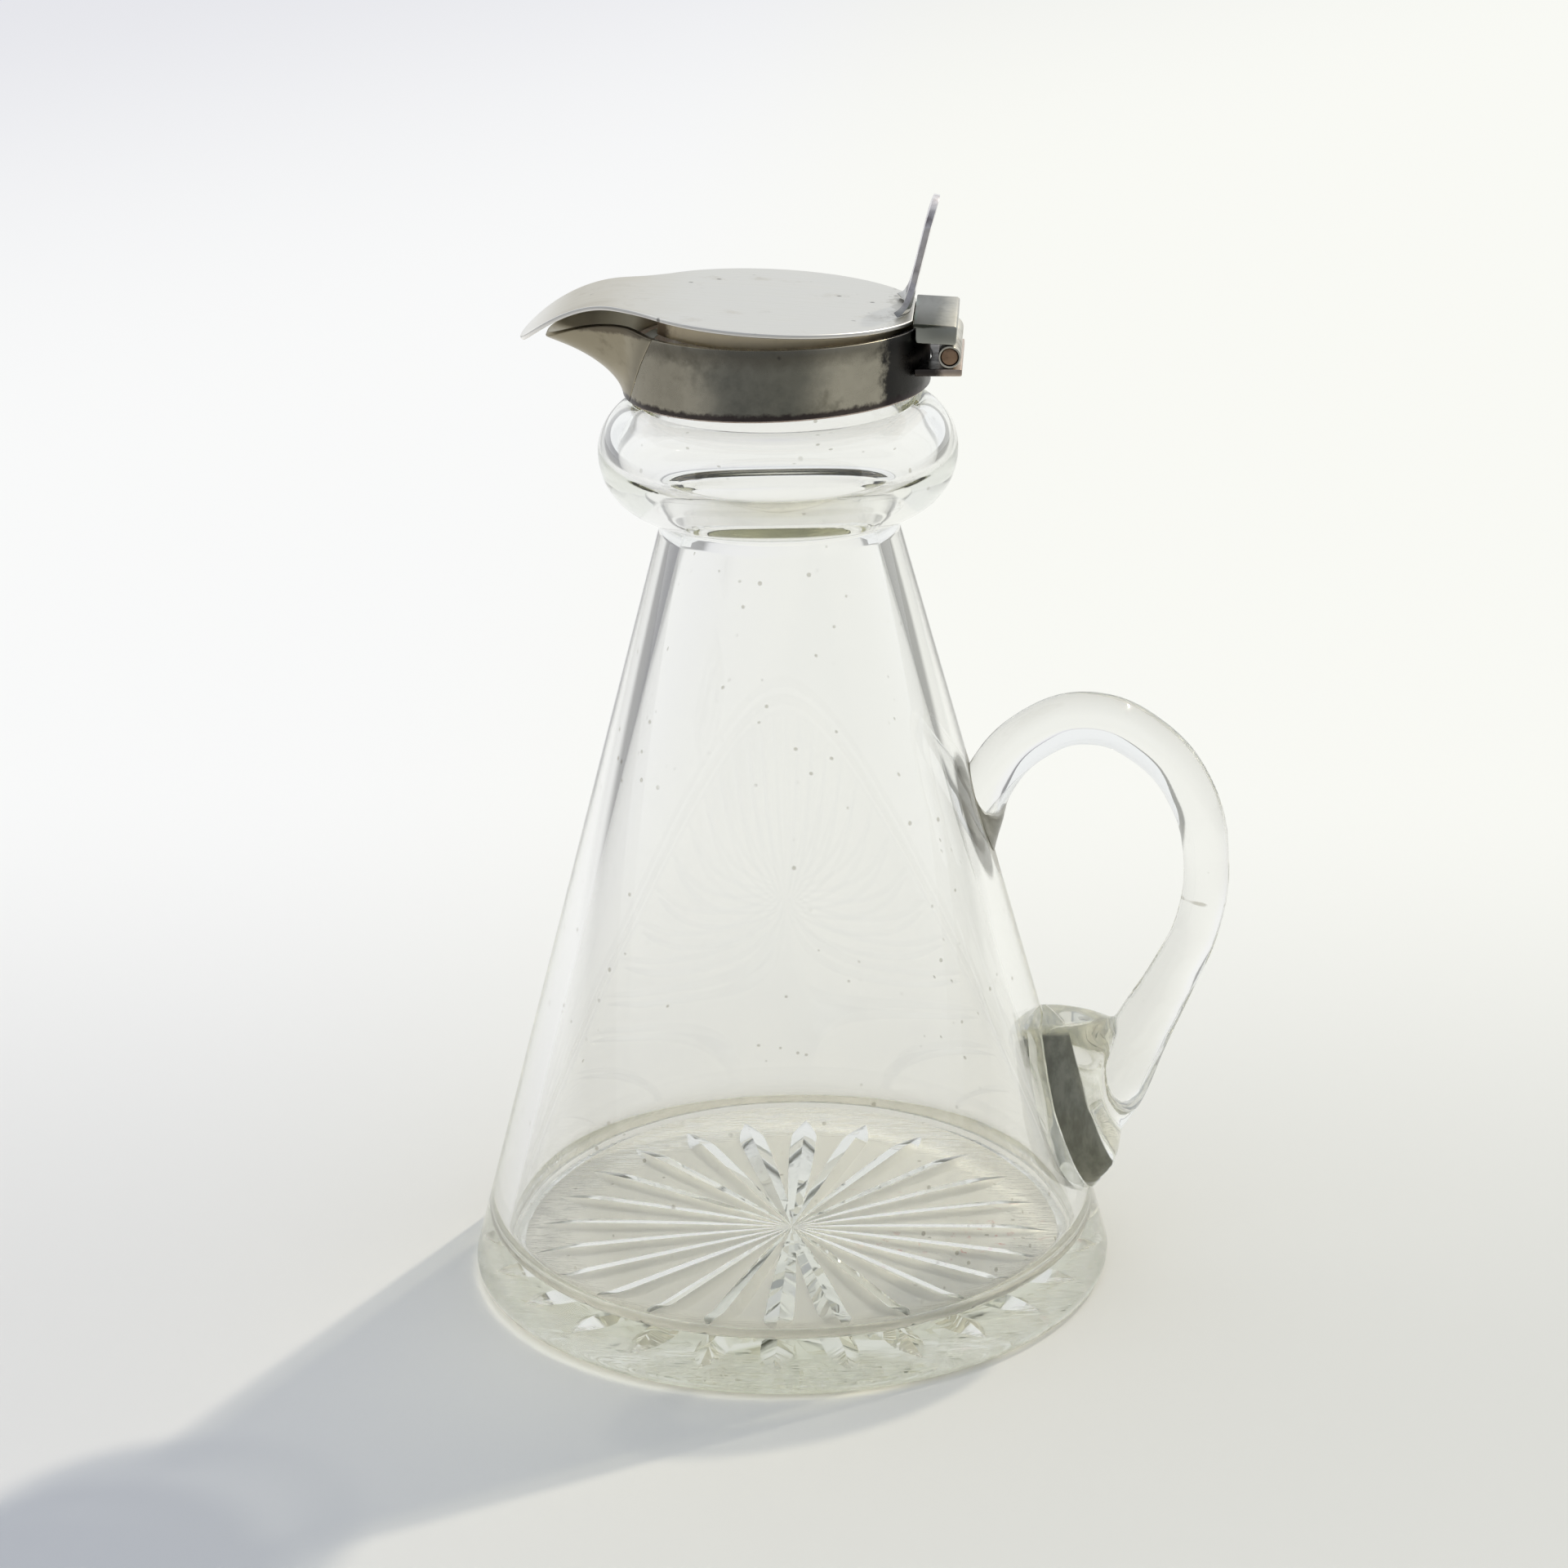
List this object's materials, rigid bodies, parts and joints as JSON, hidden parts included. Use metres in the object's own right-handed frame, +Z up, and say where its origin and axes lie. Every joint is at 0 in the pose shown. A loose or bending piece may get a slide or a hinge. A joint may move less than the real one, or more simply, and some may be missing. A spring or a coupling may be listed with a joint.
{
  "type": "silver-mounted glass decanter",
  "caption": "Small conical glass decanter with a star-cut foot, an applied loop handle, and a silver collar with a pouring lip and a hinged lid.",
  "frame": {"origin": "middle of the whole decanter's box, on the plane that its foot stands on", "axes": "+Z up along the body's axis, -X towards the pouring lip, +X towards the handle and hinge, the pin along Y"},
  "size_m": [0.0874, 0.074, 0.1247],
  "materials": {
    "clear_glass": "polished clear lead glass",
    "plaster": "aged plaster",
    "silver": "worn silver with a warm tarnish",
    "lid_silver": "satin silver with fine scratches",
    "pin_copper": "worn copper brown"
  },
  "bodies": {
    "vessel": {"glass_body": "clear_glass", "glass_handle": "clear_glass", "neck_plaster": "plaster", "collar_band": "silver", "pouring_lip": "silver", "collar_hinge_leaf": "silver", "collar_knuckle_near": "silver", "collar_knuckle_far": "silver", "hinge_pin": "pin_copper"},
    "lid": {"lid_plate": "lid_silver", "lid_bezel": "lid_silver", "lid_hinge_block": "silver", "lid_knuckle": "silver", "thumbpiece": "silver"}
  },
  "joints": [
    {"name": "lid_hinge", "type": "hinge", "parent": "vessel", "child": "lid", "pos_m": [0.01229, 0, 0.10875], "axis": [0, 1, 0], "range_deg": [-1.5, 108]}
  ]
}
